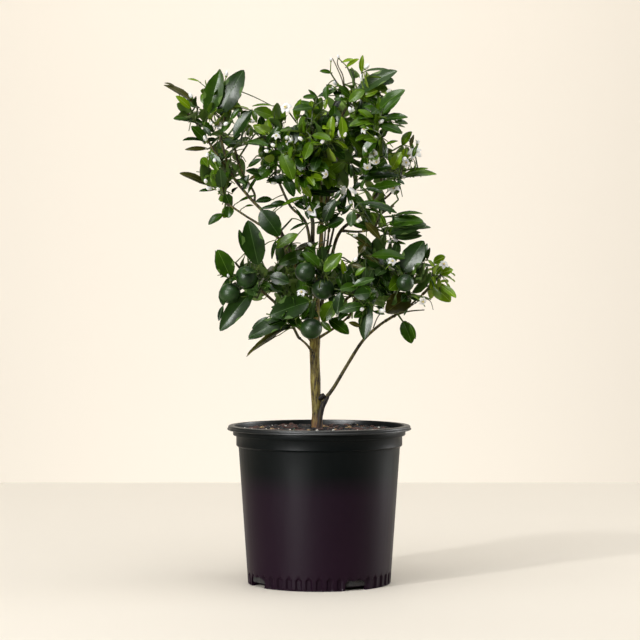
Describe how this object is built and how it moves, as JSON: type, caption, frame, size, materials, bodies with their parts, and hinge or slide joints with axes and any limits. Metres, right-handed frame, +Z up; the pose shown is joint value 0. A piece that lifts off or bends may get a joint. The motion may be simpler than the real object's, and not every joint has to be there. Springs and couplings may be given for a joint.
{
  "type": "potted calamondin orange tree",
  "caption": "Young calamondin orange tree with open leafy crown, green fruit and white blossom, growing in a round black plastic nursery pot.",
  "frame": {"origin": "centre of the pot's flat underside, on the ground", "axes": "+Z up along the pot's axis, -Y towards the viewer of the tree's front, +X to that viewer's right"},
  "size_m": [0.401, 0.2626, 0.727],
  "materials": {
    "pot": "satin injection-moulded black",
    "soil": "rough moist bark mix",
    "bark": "smooth olive-brown young citrus bark",
    "foliage": "waxy semi-gloss leaf"
  },
  "bodies": {
    "root": {"pot": "pot", "soil": "soil", "trunk": "bark", "bough_left": "bark", "bough_left_top": "bark", "bough_left_tip": "bark", "bough_left_side": "bark", "bough_inner_low": "bark", "bough_inner_left": "bark", "bough_top": "bark", "bough_right_top": "bark", "bough_right_tip": "bark", "bough_right_mid": "bark", "bough_right_low": "bark", "bough_far_right": "bark", "bough_centre": "bark", "bough_middle": "bark", "bough_front_right": "bark", "bough_low_middle": "bark", "bough_low_left": "bark", "bough_low_front": "bark", "bough_back_low_left": "bark", "bough_back_low_right": "bark", "bough_back_top": "bark", "bough_back_left": "bark", "bough_back_right": "bark", "foliage_left_tip": "foliage", "foliage_left_top": "foliage", "foliage_left_side": "foliage", "foliage_inner_low": "foliage", "foliage_inner_left": "foliage", "foliage_top": "foliage", "foliage_centre": "foliage", "foliage_right_top": "foliage", "foliage_right_tip": "foliage", "foliage_right_mid": "foliage", "foliage_right_low": "foliage", "foliage_far_right": "foliage", "foliage_middle": "foliage", "foliage_front_right": "foliage", "foliage_low_middle": "foliage", "foliage_low_left": "foliage", "foliage_low_front": "foliage", "foliage_back_low_left": "foliage", "foliage_back_low_right": "foliage", "foliage_back_top": "foliage", "foliage_back_left": "foliage", "foliage_back_right": "foliage"}
  },
  "joints": []
}
